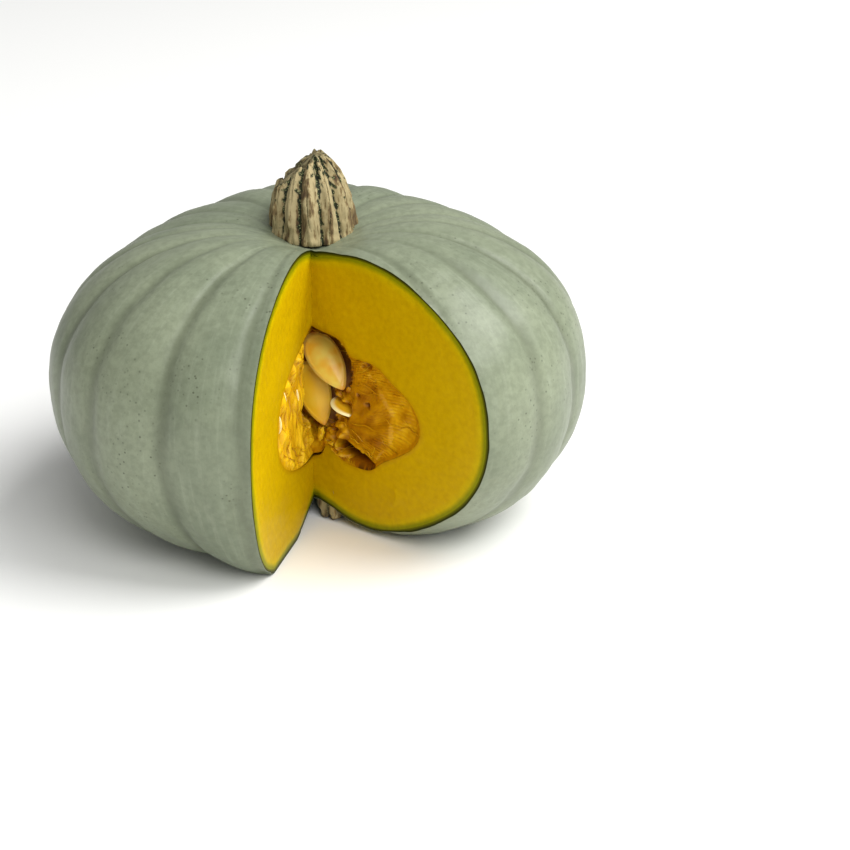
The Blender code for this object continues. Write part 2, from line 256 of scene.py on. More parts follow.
# Rind: a hard waxy skin, matt with a faint bloom that gives broad soft
# highlights. It has cloudy patches of about 24 mm, a fine grain of about
# 1.5 mm, faint pale streaks that run from stem to blossom end, and small dark
# pores in groups. Where it is cut, its edge is dark green outside and olive inside.
# Its grooves are darkened towards the deep colour, as painted shade.
rindLook = {
    "light": "#899178", "middle": "#778069", "deep": "#575d48", "streak": "#9aa28b", "pore": "#3f432f",
    "edgeDark": "#262a05", "edgeLime": "#6c6c05",
    "cloud": 24.0, "grain": 1.5, "pores": 2.6, "group": 14.0, "roughness": 0.42,
}


def rindMaterial():
    material, tree, shader = newMaterial("waxy pumpkin rind, grown", rindLook["roughness"])
    place = addNode(tree, "ShaderNodeTexCoord").outputs["Object"]
    cloud = addNode(tree, "ShaderNodeTexNoise", {"Vector": place},
                    {"Scale": 500.0 / rindLook["cloud"], "Detail": 3.0, "Roughness": 0.55})
    grain = addNode(tree, "ShaderNodeTexNoise", {"Vector": place},
                    {"Scale": 500.0 / rindLook["grain"], "Detail": 3.0, "Roughness": 0.65})
    around = addNode(tree, "ShaderNodeAttribute", attribute_name="around")
    upward = addNode(tree, "ShaderNodeAttribute", attribute_name="upward")
    skinPlace = addNode(tree, "ShaderNodeCombineXYZ", {0: around.outputs["Fac"], 1: upward.outputs["Fac"]})
    stretched = addNode(tree, "ShaderNodeMapping", {0: skinPlace.outputs[0]}, {3: (0.62, 0.045, 1.0)})
    streak = addNode(tree, "ShaderNodeTexNoise", {"Vector": stretched.outputs[0]},
                     {"Scale": 1.0, "Detail": 5.0, "Roughness": 0.62})
    base = addNode(tree, "ShaderNodeValToRGB", {0: cloud.outputs[0]},
                   stops=((0.36, rindLook["middle"]), (0.62, rindLook["light"])))
    streakShare = addNode(tree, "ShaderNodeMapRange", {0: streak.outputs[0]}, {1: 0.50, 2: 0.74, 3: 0.0, 4: 0.45})
    streaked = addNode(tree, "ShaderNodeMix", {0: streakShare.outputs[0], 6: base.outputs[0]},
                       {7: linear(rindLook["streak"])}, data_type="RGBA")
    grainShare = addNode(tree, "ShaderNodeMapRange", {0: grain.outputs[0]}, {1: 0.36, 2: 0.60, 3: 0.28, 4: 0.0})
    grained = addNode(tree, "ShaderNodeMix", {0: grainShare.outputs[0], 6: streaked.outputs[2]},
                      {7: linear(rindLook["deep"])}, data_type="RGBA")
    pore = addNode(tree, "ShaderNodeTexVoronoi", {"Vector": place}, {"Scale": 1000.0 / rindLook["pores"]})
    poreDot = addNode(tree, "ShaderNodeMapRange", {0: pore.outputs["Distance"]}, {1: 0.09, 2: 0.22, 3: 1.0, 4: 0.0})
    flock = addNode(tree, "ShaderNodeTexNoise", {"Vector": place},
                    {"Scale": 500.0 / rindLook["group"], "Detail": 2.0, "Roughness": 0.5})
    group = addNode(tree, "ShaderNodeMapRange", {0: flock.outputs[0]}, {1: 0.50, 2: 0.64, 3: 0.0, 4: 0.75})
    poreShare = addNode(tree, "ShaderNodeMath", {0: poreDot.outputs[0], 1: group.outputs[0]}, operation="MULTIPLY")
    pored = addNode(tree, "ShaderNodeMix", {0: poreShare.outputs[0], 6: grained.outputs[2]},
                    {7: linear(rindLook["pore"])}, data_type="RGBA")
    # painted shade: the grooves are darkened towards the deep colour
    groove = addNode(tree, "ShaderNodeAttribute", attribute_name="groove")
    paintedGrooveShade = addNode(tree, "ShaderNodeMath", {0: groove.outputs["Fac"]}, {1: 0.55}, operation="MULTIPLY")
    shaded = addNode(tree, "ShaderNodeMix", {0: paintedGrooveShade.outputs[0], 6: pored.outputs[2]},
                     {7: linear(rindLook["deep"])}, data_type="RGBA")
    depth = addNode(tree, "ShaderNodeAttribute", attribute_name="depth")
    edge = addNode(tree, "ShaderNodeValToRGB", {0: depth.outputs["Fac"]},
                   stops=((0.35, rindLook["edgeDark"]), (1.0, rindLook["edgeLime"])))
    atEdge = addNode(tree, "ShaderNodeMapRange", {0: depth.outputs["Fac"]}, {1: 0.02, 2: 0.14})
    coloured = addNode(tree, "ShaderNodeMix", {0: atEdge.outputs[0], 6: shaded.outputs[2],
                       7: edge.outputs[0]}, data_type="RGBA")
    tree.links.new(coloured.outputs[2], shader.inputs["Base Color"])
    gloss = addNode(tree, "ShaderNodeMapRange", {0: depth.outputs["Fac"]}, {1: 0.02, 2: 0.14, 3: 0.5, 4: 0.05})
    tree.links.new(gloss.outputs[0], shader.inputs["Specular IOR Level"])
    bump = addNode(tree, "ShaderNodeBump", {"Height": grain.outputs[0]},
                   {"Strength": 0.2, "Distance": 0.0005})
    tree.links.new(bump.outputs["Normal"], shader.inputs["Normal"])
    return material


# Flesh: firm yellow tissue, cut with a knife, a little moist. Olive just under
# the rind, yellow through the wall, amber and stringy at the cavity.
fleshLook = {
    "lime": "#858602", "yellow": "#c5ab00", "wall": "#c4a200", "amber": "#b48a00",
    "limeDepth": 2.4, "stringyDepth": 2.2, "grain": 1.1, "roughness": 0.45,
    "nick": ((44.5, -37.0), (45.5, -39.5), (45.0, -42.0), (43.5, -44.0)),
}


def fleshMaterial():
    material, tree, shader = newMaterial("pumpkin flesh, knife cut", fleshLook["roughness"], 1.38)
    place = addNode(tree, "ShaderNodeTexCoord").outputs["Object"]
    grain = addNode(tree, "ShaderNodeTexNoise", {"Vector": place},
                    {"Scale": 500.0 / fleshLook["grain"], "Detail": 3.0, "Roughness": 0.6})
    cloud = addNode(tree, "ShaderNodeTexNoise", {"Vector": place}, {"Scale": 60.0, "Detail": 3.0})
    depth = addNode(tree, "ShaderNodeAttribute", attribute_name="depth")
    inner = addNode(tree, "ShaderNodeAttribute", attribute_name="inner")
    uneven = addNode(tree, "ShaderNodeMath", {0: cloud.outputs[0]}, {1: 0.35}, operation="MULTIPLY")
    under = addNode(tree, "ShaderNodeMath", {0: depth.outputs["Fac"], 1: uneven.outputs[0]},
                    operation="SUBTRACT")
    skinward = addNode(tree, "ShaderNodeValToRGB", {0: under.outputs[0]},
                       stops=((0.0, fleshLook["lime"]), (0.42, fleshLook["yellow"]), (1.0, fleshLook["wall"])))
    coreward = addNode(tree, "ShaderNodeMix", {0: inner.outputs["Fac"], 6: skinward.outputs[0]},
                       {7: linear(fleshLook["amber"])}, data_type="RGBA")
    tint = addNode(tree, "ShaderNodeValToRGB", {0: grain.outputs[0]},
                   stops=((0.30, "#e6e0d2"), (0.65, "#ffffff")))
    coloured = addNode(tree, "ShaderNodeMix", {6: coreward.outputs[2], 7: tint.outputs[0]}, {0: 0.6},
                       data_type="RGBA", blend_type="MULTIPLY")
    tree.links.new(coloured.outputs[2], shader.inputs["Base Color"])
    bump = addNode(tree, "ShaderNodeBump", {"Height": grain.outputs[0]},
                   {"Strength": 0.25, "Distance": 0.0004})
    tree.links.new(bump.outputs["Normal"], shader.inputs["Normal"])
    shader.inputs["Specular IOR Level"].default_value = 0.12
    shader.inputs["Subsurface Weight"].default_value = 0.08
    shader.inputs["Subsurface Radius"].default_value = (0.003, 0.0025, 0.0003)
    shader.inputs["Subsurface Scale"].default_value = 0.5
    return material


# Pulp: wet amber fibres, yellower in random patches and on raised fibres as painted light, and dark
# brown in its hollows and between fibres as painted shade, with a film of juice that gives it small highlights
pulpLook = {
    "shadedHollow": "#55330a", "deep": "#985f03", "fibre": "#c18c02", "tip": "#e6b916", "grain": 0.9,
    "roughness": 0.38,
}


def pulpMaterial(name):
    material, tree, shader = newMaterial(name, pulpLook["roughness"], 1.37)
    place = addNode(tree, "ShaderNodeTexCoord").outputs["Object"]
    grain = addNode(tree, "ShaderNodeTexNoise", {"Vector": place},
                    {"Scale": 500.0 / pulpLook["grain"], "Detail": 3.0, "Roughness": 0.6})
    tone = addNode(tree, "ShaderNodeAttribute", attribute_name="tone")
    uneven = addNode(tree, "ShaderNodeMath", {0: grain.outputs[0]}, {1: 0.22, 2: -0.11}, operation="MULTIPLY_ADD")
    total = addNode(tree, "ShaderNodeMath", {0: tone.outputs["Fac"], 1: uneven.outputs[0]}, operation="ADD")
    # the darkest stop is painted shade, for the hollows, the slit, the gap and the pockets
    colour = addNode(tree, "ShaderNodeValToRGB", {0: total.outputs[0]},
                     stops=((0.06, pulpLook["shadedHollow"]), (0.30, pulpLook["deep"]),
                            (0.62, pulpLook["fibre"]), (0.95, pulpLook["tip"])))
    tree.links.new(colour.outputs[0], shader.inputs["Base Color"])
    bump = addNode(tree, "ShaderNodeBump", {"Height": grain.outputs[0]},
                   {"Strength": 0.3, "Distance": 0.0005})
    tree.links.new(bump.outputs["Normal"], shader.inputs["Normal"])
    shader.inputs["Specular IOR Level"].default_value = 0.4
    shader.inputs["Subsurface Weight"].default_value = 0.15
    shader.inputs["Subsurface Radius"].default_value = (0.005, 0.003, 0.0004)
    shader.inputs["Subsurface Scale"].default_value = 0.5
    return material


# Seed coat: smooth, cream, with a thin wet film of pulp on it and an orange tip
seedLook = {"pale": "#efd55c", "film": "#eeb02c", "wet": "#eebb08", "rim": "#fff2b0", "tip": "#dc9420",
            "roughness": 0.32, "patch": 4.5}


def seedMaterial():
    material, tree, shader = newMaterial("pumpkin seed coat, wet", seedLook["roughness"])
    place = addNode(tree, "ShaderNodeTexCoord").outputs["Object"]
    film = addNode(tree, "ShaderNodeTexNoise", {"Vector": place},
                   {"Scale": 500.0 / seedLook["patch"], "Detail": 2.0, "Roughness": 0.45})
    rim = addNode(tree, "ShaderNodeAttribute", attribute_name="rim")
    tip = addNode(tree, "ShaderNodeAttribute", attribute_name="tip")
    base = addNode(tree, "ShaderNodeValToRGB", {0: film.outputs[0]},
                   stops=((0.38, seedLook["film"]), (0.56, seedLook["pale"])))
    wet = addNode(tree, "ShaderNodeAttribute", attribute_name="wet")
    filmed = addNode(tree, "ShaderNodeMix", {0: wet.outputs["Fac"], 6: base.outputs[0]},
                     {7: linear(seedLook["wet"])}, data_type="RGBA")
    edged = addNode(tree, "ShaderNodeMix", {0: rim.outputs["Fac"], 6: filmed.outputs[2]},
                    {7: linear(seedLook["rim"])}, data_type="RGBA")
    tipped = addNode(tree, "ShaderNodeMix", {0: tip.outputs["Fac"], 6: edged.outputs[2]},
                     {7: linear(seedLook["tip"])}, data_type="RGBA")
    tree.links.new(tipped.outputs[2], shader.inputs["Base Color"])
    bump = addNode(tree, "ShaderNodeBump", {"Height": film.outputs[0]}, {"Strength": 0.1, "Distance": 0.0003})
    tree.links.new(bump.outputs["Normal"], shader.inputs["Normal"])
    shader.inputs["Coat Weight"].default_value = 0.1
    shader.inputs["Coat Roughness"].default_value = 0.25
    shader.inputs["Subsurface Weight"].default_value = 0.12
    shader.inputs["Subsurface Radius"].default_value = (0.003, 0.0025, 0.0012)
    shader.inputs["Subsurface Scale"].default_value = 0.5
    return material


# Cork of the stem and of the scar: dry rough strips about 1.2 mm wide, and in
# the furrows a dark green skin with pale specks of about 0.6 mm
# The same furrow colour is painted as shade on the stem's foot, where it sits on the fruit.
corkLook = {
    "pale": "#aa9b72", "tan": "#826f49", "brown": "#523f29", "speck": "#a3a676", "green": "#353f1c",
    "black": "#1c1f0f", "strip": 1.0, "specks": 0.8, "roughness": 0.9,
}


def corkMaterial(name):
    material, tree, shader = newMaterial(name, corkLook["roughness"])
    place = addNode(tree, "ShaderNodeTexCoord").outputs["Object"]
    stretched = addNode(tree, "ShaderNodeMapping", {"Vector": place}, {"Scale": (1.0, 1.0, 0.2)})
    strip = addNode(tree, "ShaderNodeTexNoise", {"Vector": stretched.outputs[0]},
                    {"Scale": 500.0 / corkLook["strip"], "Detail": 4.0, "Roughness": 0.7})
    patch = addNode(tree, "ShaderNodeTexNoise", {"Vector": stretched.outputs[0]}, {"Scale": 130.0, "Detail": 3.0})
    dots = addNode(tree, "ShaderNodeTexVoronoi", {"Vector": place}, {"Scale": 1000.0 / corkLook["specks"]})
    furrow = addNode(tree, "ShaderNodeAttribute", attribute_name="furrow")
    tone = addNode(tree, "ShaderNodeMath", {0: strip.outputs[0], 1: patch.outputs[0]}, operation="ADD")
    base = addNode(tree, "ShaderNodeValToRGB", {0: tone.outputs[0]},
                   stops=((0.78, corkLook["brown"]), (0.92, corkLook["tan"]), (1.08, corkLook["pale"])))
    speck = addNode(tree, "ShaderNodeValToRGB", {0: dots.outputs["Distance"]},
                    stops=((0.14, corkLook["speck"]), (0.30, corkLook["green"]), (0.6, corkLook["black"])))
    coloured = addNode(tree, "ShaderNodeMix", {0: furrow.outputs["Fac"], 6: base.outputs[0],
                       7: speck.outputs[0]}, data_type="RGBA")
    tree.links.new(coloured.outputs[2], shader.inputs["Base Color"])
    bump = addNode(tree, "ShaderNodeBump", {"Height": strip.outputs[0]}, {"Strength": 0.6, "Distance": 0.0008})
    tree.links.new(bump.outputs["Normal"], shader.inputs["Normal"])
    return material


# The fruit's wall

wall = {"rows": 200, "columns": 380, "hidden": 77, "edgeSteps": 7, "cutSteps": 60, "startLevel": -5.0,
        "inset": 0.45, "crease": 0.9, "deepest": 1.15,
        "buried": 1.5,
        "crown": 0.09, "crownSpread": 24.0}  # how much higher the cavity is right where the cuts meet

lean = np.array((notch["lean"][0], notch["lean"][1], 1.0))
cutFoot = np.array((notch["meeting"][0], notch["meeting"][1], 0.0))
meeting = cutFoot + wall["startLevel"] * lean
leanWay = lean / np.linalg.norm(lean)
turns = np.linspace(notch["right"], notch["left"] + 360.0, wall["columns"])
heights = np.linspace(-90.0, 90.0, wall["rows"])
hidden = np.linspace(0, wall["columns"] - 1, wall["hidden"]).round().astype(int)


def waysFrom(turn, height):
    # ways from the line where the cuts meet: level ones turn round it, the poles lie along it
    level = np.cos(np.radians(height))[:, None, None]
    return level * unitWay(turn, 0.0)[None] + np.sin(np.radians(height))[:, None, None] * leanWay


def cavityReach(turn, height):
    # how far the cavity's wall lies from that line, with the dents that the right cut shows
    reach = reachTo(outsideCavity, meeting, waysFrom(turn, height))
    nearCut = np.exp(-((turn - notch["right"]) / cavity["dentSpread"]) ** 2)[None]
    for place, share, spread in cavity["dents"]:
        reach = reach * (1.0 - share * nearCut * np.exp(-((height - place) / spread) ** 2)[:, None])
    return reach * (1.0 + wall["crown"] * np.exp(-((90.0 - height) / wall["crownSpread"]) ** 2))[:, None]


def wallNormal(azimuth):
    # unit vector square to a cut
    normal = np.cross(unitWay(azimuth, 0.0), leanWay)
    return normal / np.linalg.norm(normal)


def onCut(points, azimuth):
    # where points lie on a cut, in millimetres: along it from where the cuts meet, and up
    offset = points - cutFoot
    up = offset[..., 2]
    return (offset - up[..., None] * lean) @ unitWay(azimuth, 0.0), up


def skinSheets():
    # the outer skin, and the same skin moved inwards by the rind's thickness
    ways = waysFrom(turns, heights)
    outer = meeting + reachTo(outsideSkin, meeting, ways)[..., None] * ways
    normals = gridNormals(outer)
    normals *= np.sign((normals * ways).sum(axis=-1, keepdims=True))
    normals[0], normals[-1] = -leanWay, leanWay
    for column, azimuth in ((0, notch["right"]), (-1, notch["left"])):
        square = wallNormal(azimuth)
        inPlane = normals[:, column] - (normals[:, column] @ square)[:, None] * square
        normals[:, column] = inPlane / (inPlane ** 2).sum(axis=-1, keepdims=True)
    inner = outer - body["skin"] * normals
    uneven = 0.22 * ripples(outer, 38.0, 3) + 0.10 * ripples(outer, 11.0, 4) + 0.03 * ripples(outer, 3.0, 5)
    poles = np.clip((90.0 - np.abs(heights)) / 8.0, 0.0, 1.0)
    flat = outer[..., 2] < body["restLevel"] + 1.5
    azimuth, height, _ = polar(outer)
    toDeep, toShallow = creaseDistances(azimuth + 0.5 * ripples(outer, 30.0, 6))
    level = np.clip(np.cos(np.radians(height)) * 1.6 - 0.3, 0.0, 1.0)
    creases = wall["crease"] * level * (np.exp(-(toDeep / 1.6) ** 2) + 0.8 * np.exp(-(toShallow / 1.9) ** 2))
    sink = np.minimum(np.maximum(wall["inset"] + uneven, 0.0) + creases, wall["deepest"])
    sink = np.where(flat, 0.0, sink) * poles[:, None]
    # between its columns the hidden side cuts corners, so it lies deeper away from the cuts
    place = np.arange(wall["columns"])
    away = easeStep(np.minimum(place, place[::-1]) / 12.0)
    buried = inner - (wall["buried"] * away[None] * poles[:, None])[..., None] * normals
    # the creases' share, returned last, also sets the painted shade of the rind's grooves
    return outer - sink[..., None] * normals, inner, buried, creases / wall["crease"]


def makeRind(outer, inner, buried, creases, material):
    steps = np.linspace(0.0, 1.0, wall["edgeSteps"])
    strips = [outer[:, column, None] + steps[None, :, None] * (inner[:, column] - outer[:, column])[:, None]
              for column in (0, -1)]
    sheets = [outer, buried[:, hidden]] + strips
    azimuth, height, _ = polar(outer)
    stepMark = np.broadcast_to(steps, strips[0].shape[:2])
    depth = [np.zeros(outer.shape[:2]), np.ones((wall["rows"], wall["hidden"])), stepMark, stepMark]
    # the grooves' painted shade, on the outer skin only
    grooves = [creases] + [np.zeros(sheet.shape[:2]) for sheet in sheets[1:]]
    arounds = [azimuth % 360.0] + [np.zeros(sheet.shape[:2]) for sheet in sheets[1:]]
    upwards = [height] + [np.zeros(sheet.shape[:2]) for sheet in sheets[1:]]
    piece = buildPiece("rindSkin", sheets, ["rind"],
                       {"depth": depth, "groove": grooves, "around": arounds, "upward": upwards})
    piece.data.materials.append(material)


def makeFlesh(inner, buried, material):
    ways = waysFrom(turns, heights)
    bore = meeting + cavityReach(turns, heights)[..., None] * ways
    steps = 1.0 - (1.0 - np.linspace(0.0, 1.0, wall["cutSteps"])) ** 1.4
    cuts, depths, inners = [], [], []
    for column, azimuth, seed in ((0, notch["right"], 21), (-1, notch["left"], 22)):
        start, end = bore[:, column, None], inner[:, column, None]
        cut = start + steps[None, :, None] * (end - start)
        length = np.linalg.norm(end - start, axis=-1)
        fromRind = (1.0 - steps[None]) * length
        fromBore = steps[None] * length
        offLine = np.linalg.norm(np.cross(cut - meeting, leanWay), axis=-1)
        fade = np.clip(fromRind / 3.0, 0, 1) * np.clip(fromBore / 2.0, 0, 1) * np.clip(offLine / 4.0, 0, 1)
        fibres = np.sin(heights[:, None] * 2.9 + 2.0 * ripples(cut, 20.0, seed)) * 0.05
        dents = 0.35 * ripples(cut, 30.0, seed + 5) + 0.07 * ripples(cut, 5.0, seed + 9)
        along, up = onCut(cut, azimuth)
        nick = nearLine(along, up, fleshLook["nick"]) if column == 0 else np.full(along.shape, 9.0)
        cut = cut + (fade * (fibres + dents + 0.5 * np.exp(-(nick / 0.7) ** 2)))[..., None] * wallNormal(azimuth)
        cuts.append(cut)
        depths.append(fromRind / (2.0 * fleshLook["limeDepth"]))
        inners.append(np.clip(1.0 - fromBore / fleshLook["stringyDepth"], 0.0, 1.0))
    bore = bore[:, hidden]
    sheets = [buried[:, hidden], bore] + cuts
    depths = [np.zeros(sheets[0].shape[:2]), np.ones(bore.shape[:2])] + depths
    inners = [np.zeros(sheets[0].shape[:2]), np.ones(bore.shape[:2])] + inners
    piece = buildPiece("fleshWall", sheets, ["flesh"], {"depth": depths, "inner": inners})
    piece.data.materials.append(material)


# Seeds, flat and round at one end and pointed at the other, with a slight margin.
# Places are centre, way of the tip, way that a flat side faces.

seed = {
    "length": 30.0, "thickness": 3.4, "rows": 34, "columns": 72,
    "lengths": (28.0, 28.0, 28.0, 30.0, 30.0, 30.0), "widths": (13.6, 13.6, 13.6, 15.0, 15.0, 15.0),
    "wet": (0.15, 0.75, 0.8, 0.0, 0.0, 0.0),  # share of the orange film on each one's faces
    "bare": (0.15, 0.1, 1.0, 1.0, 1.0, 1.0),  # how pale each one's margin is
    "places": (
        ((4.6, -14.0, 10.2), (0.51, -0.50, -0.70), (-0.05, -0.82, 0.57)),
        ((-0.4, -10.6, -4.8), (0.27, -0.20, -0.94), (-0.05, -0.95, 0.20)),
        ((18.5, -15.8, -10.0), (0.90, 0.35, -0.20), (0.25, -0.35, 0.90)),
        ((-16.19, -25.10, 0.94), (-0.724, 0.688, -0.045), (-0.689, -0.725, 0.0)),
        ((-19.97, -42.21, 5.40), (-0.722, 0.686, -0.089), (-0.689, -0.725, 0.0)),
        ((-21.53, -49.01, -0.94), (-0.724, 0.689, 0.039), (-0.689, -0.725, 0.0)),
    ),
}


def seedWays(tip, facing):
    # three unit vectors of a seed: to its tip, across it, and square to its flat side
    tip = np.array(tip) / np.linalg.norm(tip)
    across = np.cross(facing, tip)
    across /= np.linalg.norm(across)
    return tip, across, np.cross(tip, across)


def makeSeeds(material):
    # rings from the middle of one face over the margin to the middle of the other; a ring's
    # radius follows the seed's outline and its height an ellipse, with a small swell at the margin
    turn = np.linspace(0.0, 2.0 * np.pi, seed["columns"])
    path = np.linspace(0.0, 1.0, seed["rows"])
    out = np.sin(np.pi * path)
    side = np.where(path < 0.5, 1.0, -1.0)
    dome = np.maximum(0.0, 1.0 - out ** 2.0) ** 0.62
    margin = 0.16 * np.exp(-((out - 0.88) / 0.05) ** 2) * (out < 0.995)
    pointed = 1.0 - 0.22 * np.cos(turn) - 0.30 * np.maximum(np.cos(turn), 0.0) ** 3
    flatX, flatY = out[:, None] * np.cos(turn), out[:, None] * np.sin(turn) * pointed
    rim = np.clip((out[:, None] - 0.86) / 0.08, 0.0, 1.0) * np.ones_like(flatX)
    tipMark = np.clip((flatX - 0.80) / 0.18, 0.0, 1.0)
    for number, (middle, tip, facing) in enumerate(seed["places"], start=1):
        tip, across, facing = seedWays(tip, facing)
        length, width = seed["lengths"][number - 1], seed["widths"][number - 1]
        x, y = (flatX * length + seed["length"] - length) / 2.0, flatY * width / 2.0
        warp = 0.30 * np.sin(x / 5.0 + number) * np.cos(y / 4.0) * (1.0 - out[:, None] ** 2)
        z = (side * (dome * 0.92 + margin) * seed["thickness"] / 2.0)[:, None] + warp * 0.6
        sheet = np.array(middle) + x[..., None] * tip + y[..., None] * across + z[..., None] * facing
        piece = buildPiece("seedCoat%d" % number, [sheet], ["seed_%d" % number],
                           {"rim": [rim * seed["bare"][number - 1]], "tip": [tipMark], "wet": [np.full(x.shape, seed["wet"][number - 1])]},
                           sharp=75.0)
        piece.data.materials.append(material)


# The pulp: wet fibres that line the cavity and fan out to its wall. Places on the
# cuts are in millimetres, along the cut from where the cuts meet, and up.

pulp = {
    "core": (-6.0, -2.0, -5.0), "coreHeight": (13.0, 26.0), "rows": 340, "steps": 120, "backs": 39, "fill": 0.95,
    "bowl": 2.6, "combDepth": 0.24, "combAngle": 1.9, "leftBowl": 0.4, "leftOpen": 7.0,
    # bare part of each loose seed: shift towards the tip, half length, half width, and depth
    "pockets": ((0.0, 15.6, 8.1, 16.0), (0.0, 15.6, 8.1, 16.0), (-7.0, 7.5, 6.5, 4.0)),
    "fanMiddle": (17.8, -16.9), "fanReach": 23.6, "fanSwell": 7.0, "fanHeight": 0.7,
    "slit": ((14.0, -25.0), (21.0, -28.0), (27.0, -30.4), (32.0, -31.6)), "slitWidth": 3.1, "slitDepth": 9.0,
    "gap": ((-2.5, 23.0), (4.0, 23.2), (10.0, 21.6), (14.0, 18.0), (17.5, 12.5), (19.0, 8.0)),
    "gapWidth": 1.0, "gapDepth": 5.0,
    "hollows": ((28.0, 13.6, 2.0), (23.6, -0.6, 1.6), (28.2, -4.4, 1.4), (10.0, -18.5, 2.4), (17.5, -7.5, 2.0)),
    "leftHollows": ((50.0, -8.0, 1.8), (45.0, -21.0, 2.4), (31.0, 7.0, 2.0)),
    "lumps": (  # along, up, outward, length, width, turn, yellowness
        (3.5, -22.5, -1.0, 6.0, 3.2, 80.0, 0.95), (7.5, -27.0, -1.5, 4.5, 3.0, 40.0, 0.85),
        (18.6, 1.0, -1.5, 2.6, 2.2, 20.0, 0.35), (21.5, -6.5, -3.5, 6.5, 1.6, -28.0, 0.60),
        (14.5, -14.0, -4.5, 4.6, 2.6, 60.0, 0.35), (17.0, -20.5, -4.0, 5.0, 2.0, -20.0, 0.55),
        (11.0, -12.0, -5.0, 4.5, 3.2, 30.0, 0.40), (28.5, 8.5, -3.8, 4.6, 1.8, 60.0, 0.70),
        (25.0, 5.5, -4.2, 4.0, 2.2, -40.0, 0.50), (-1.0, 10.0, -2.5, 2.4, 1.4, 70.0, 0.90),
        (20.5, 9.0, -3.0, 5.0, 2.0, -70.0, 0.30), (22.0, 3.5, -3.4, 4.4, 2.4, 60.0, 0.45),
        (13.5, -9.0, -4.0, 4.0, 2.0, -50.0, 0.30), (15.5, -18.0, -3.6, 4.6, 2.2, 20.0, 0.65),
        (46.5, -19.0, -2.6, 4.0, 2.0, 60.0, 0.85), (42.0, -23.0, -2.4, 3.6, 1.8, 30.0, 0.80),
    ),
    "strands": 60, "strandRadius": 0.2, "seed": 12,
}


def nearLine(along, up, line):
    # the least distance from points on a cut to a bent line
    best = np.full(np.shape(along), 1e3)
    for (a, b), (c, d) in zip(line[:-1], line[1:]):
        share = np.clip(((along - a) * (c - a) + (up - b) * (d - b)) / ((c - a) ** 2 + (d - b) ** 2), 0.0, 1.0)
        best = np.minimum(best, np.hypot(along - a - share * (c - a), up - b - share * (d - b)))
    return best


def easeStep(value):
    # zero below zero, one above one, smooth between
    value = np.clip(value, 0.0, 1.0)
    return value * value * (3.0 - 2.0 * value)


def combRidges(angle, spacing, wander):
    # round-topped ridges with sharp valleys, from -1 to 1
    return 2.0 * np.sqrt(np.abs(np.sin(np.pi * angle / spacing + wander)) + 1e-9) - 1.4


def rightRelief(sheet, steps, reach, angle):
    # how far the pulp stands out of the right cut, mostly below zero, and its tone from 0 to 1:
    # a shallow bowl with a combed rim, a fan of fine fibres over it, and hollows; besides random
    # patches the tone is lighter where raised as painted light and darker where sunk as painted shade
    along, up = onCut(sheet, notch["right"])
    fromRim = (1.0 - steps)[None] * reach[:, None]
    slow, quick = ripples(sheet, 9.0, 41), ripples(sheet, 3.2, 42)
    height = -pulp["bowl"] * (1.0 - np.exp(-fromRim / 2.2)) * (1.0 + 0.15 * slow)
    comb = combRidges(angle, pulp["combAngle"], 0.9 * ripples(sheet, 24.0, 43))
    fine = combRidges(angle, 0.8, 1.3 * ripples(sheet, 16.0, 44))
    inRim = easeStep(fromRim / 3.0) * easeStep((17.0 - fromRim) / 5.0)
    height += inRim * (pulp["combDepth"] * comb + 0.10 * fine)
    broken = np.clip(0.6 + 0.5 * quick + 0.4 * slow, 0.0, 1.0)
    # painted light and shade: the tone follows the comb's ridges, lighter on their tops
    tone = 0.59 + inRim * (0.10 + broken * (0.10 * comb + 0.06 * fine)) + 0.05 * slow
    # painted shade: a darker band just inside the rim, where the bowl drops away
    tone = tone - 0.12 * np.exp(-((fromRim - 1.2) / 1.4) ** 2) * np.clip(0.5 + slow, 0.0, 1.0)
    away, aside = along - pulp["fanMiddle"][0], up - pulp["fanMiddle"][1]
    distance, turn = np.hypot(away, aside), np.degrees(np.arctan2(aside, away))
    edge = pulp["fanReach"] + pulp["fanSwell"] * np.sin(np.radians(turn - 3.0)) + 0.7 * slow + 0.35 * quick
    inFan = easeStep((edge - distance) / 2.4) * easeStep((turn + 48.0) / 12.0) * easeStep((104.0 - turn) / 20.0)
    folds = np.sin(np.radians(turn) * 11.0 + 0.8 * slow)
    rays = combRidges(turn, 3.1, 1.0 * ripples(sheet, 20.0, 45))
    fineRays = combRidges(turn, 1.3, 1.0 * ripples(sheet, 12.0, 46))
    spread = easeStep((distance - 4.0) / 10.0)
    height += inFan * (pulp["fanHeight"] + spread * (0.40 * folds + 0.14 * rays + 0.07 * fineRays))
    # painted light and shade: in the fan the tone follows the folds and rays, and is lighter along its raised edge
    tone += inFan * (-0.12 - 0.14 * inRim + spread * (0.08 * folds + 0.06 * rays + 0.04 * fineRays))
    tone += 0.06 * inFan * np.exp(-((edge - distance - 0.8) / 0.8) ** 2)
    tangled = easeStep((20.0 - along) / 6.0) * (1.0 - inFan)
    height += tangled * (0.5 + 1.0 * ripples(sheet, 5.5, 47) + 0.4 * quick)
    # painted light and shade: the tangle's tone follows its lumps
    tone += tangled * (0.12 * ripples(sheet, 5.5, 47) + 0.08 * quick) + 0.05 * slow + 0.04 * quick
    # painted shade: the slit, the gap and the hollows below are darkened as well as sunk
    slit = easeStep((pulp["slitWidth"] + 0.25 * quick - nearLine(along, up, pulp["slit"])) / 0.9)
    gap = easeStep((pulp["gapWidth"] + 0.3 * quick - nearLine(along, up, pulp["gap"])) / 0.9)
    dark = np.maximum(slit, gap)
    height -= pulp["slitDepth"] * slit + pulp["gapDepth"] * gap
    for place, level, size in pulp["hollows"]:
        shadedHollow = easeStep(1.3 - np.hypot(along - place, up - level) / size + 0.35 * quick + 0.25 * slow)
        height -= 1.6 * shadedHollow
        dark = np.maximum(dark, 0.65 * shadedHollow)
    return height, np.clip(tone * (1.0 - dark) + 0.02, 0.0, 1.0)


